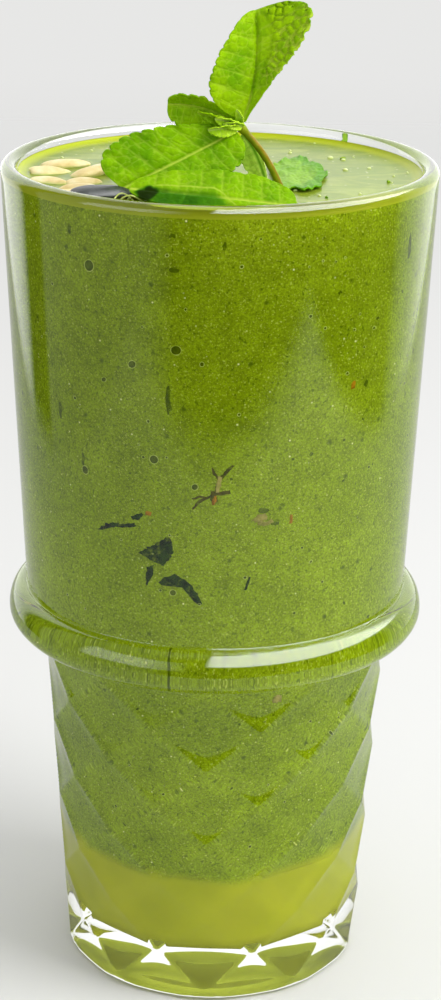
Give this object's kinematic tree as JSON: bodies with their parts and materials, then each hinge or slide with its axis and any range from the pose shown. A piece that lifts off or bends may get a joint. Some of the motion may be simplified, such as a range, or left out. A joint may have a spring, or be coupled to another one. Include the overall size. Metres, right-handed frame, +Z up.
{
  "type": "green smoothie in a tall glass",
  "caption": "Tall stacking glass with a solid ring and a diamond-cut lower body, filled with green smoothie over a clear yellow-green layer, with a mint sprig on top.",
  "frame": {"origin": "on the glass's axis, at the surface the glass stands on", "axes": "+Z up along the glass's axis, -Y the side seen first, with the mint sprig nearer to it, +X to the right"},
  "size_m": [0.08, 0.08, 0.189],
  "materials": {
    "glass": "clear polished glass",
    "smoothie": "thick opaque green drink with fine specks",
    "juice": "cloudy yellow-green juice",
    "mint_leaf": "fresh bright green leaf, quilted between its veins",
    "mint_stem": "olive stem with a red-brown side",
    "seed": "dark grey seed coat",
    "kernel": "pale beige hulled kernel"
  },
  "bodies": {
    "root": {"glass": "glass", "smoothie": "smoothie", "juice_layer": "juice", "mint_stem": "mint_stem", "mint_leaf_upright": "mint_leaf", "mint_leaf_small": "mint_leaf", "mint_bud": "mint_leaf", "mint_leaf_left": "mint_leaf", "mint_leaf_front": "mint_leaf", "mint_leaf_back": "mint_leaf", "mint_leaf_float": "mint_leaf", "dark_seed": "seed"}
  },
  "joints": []
}
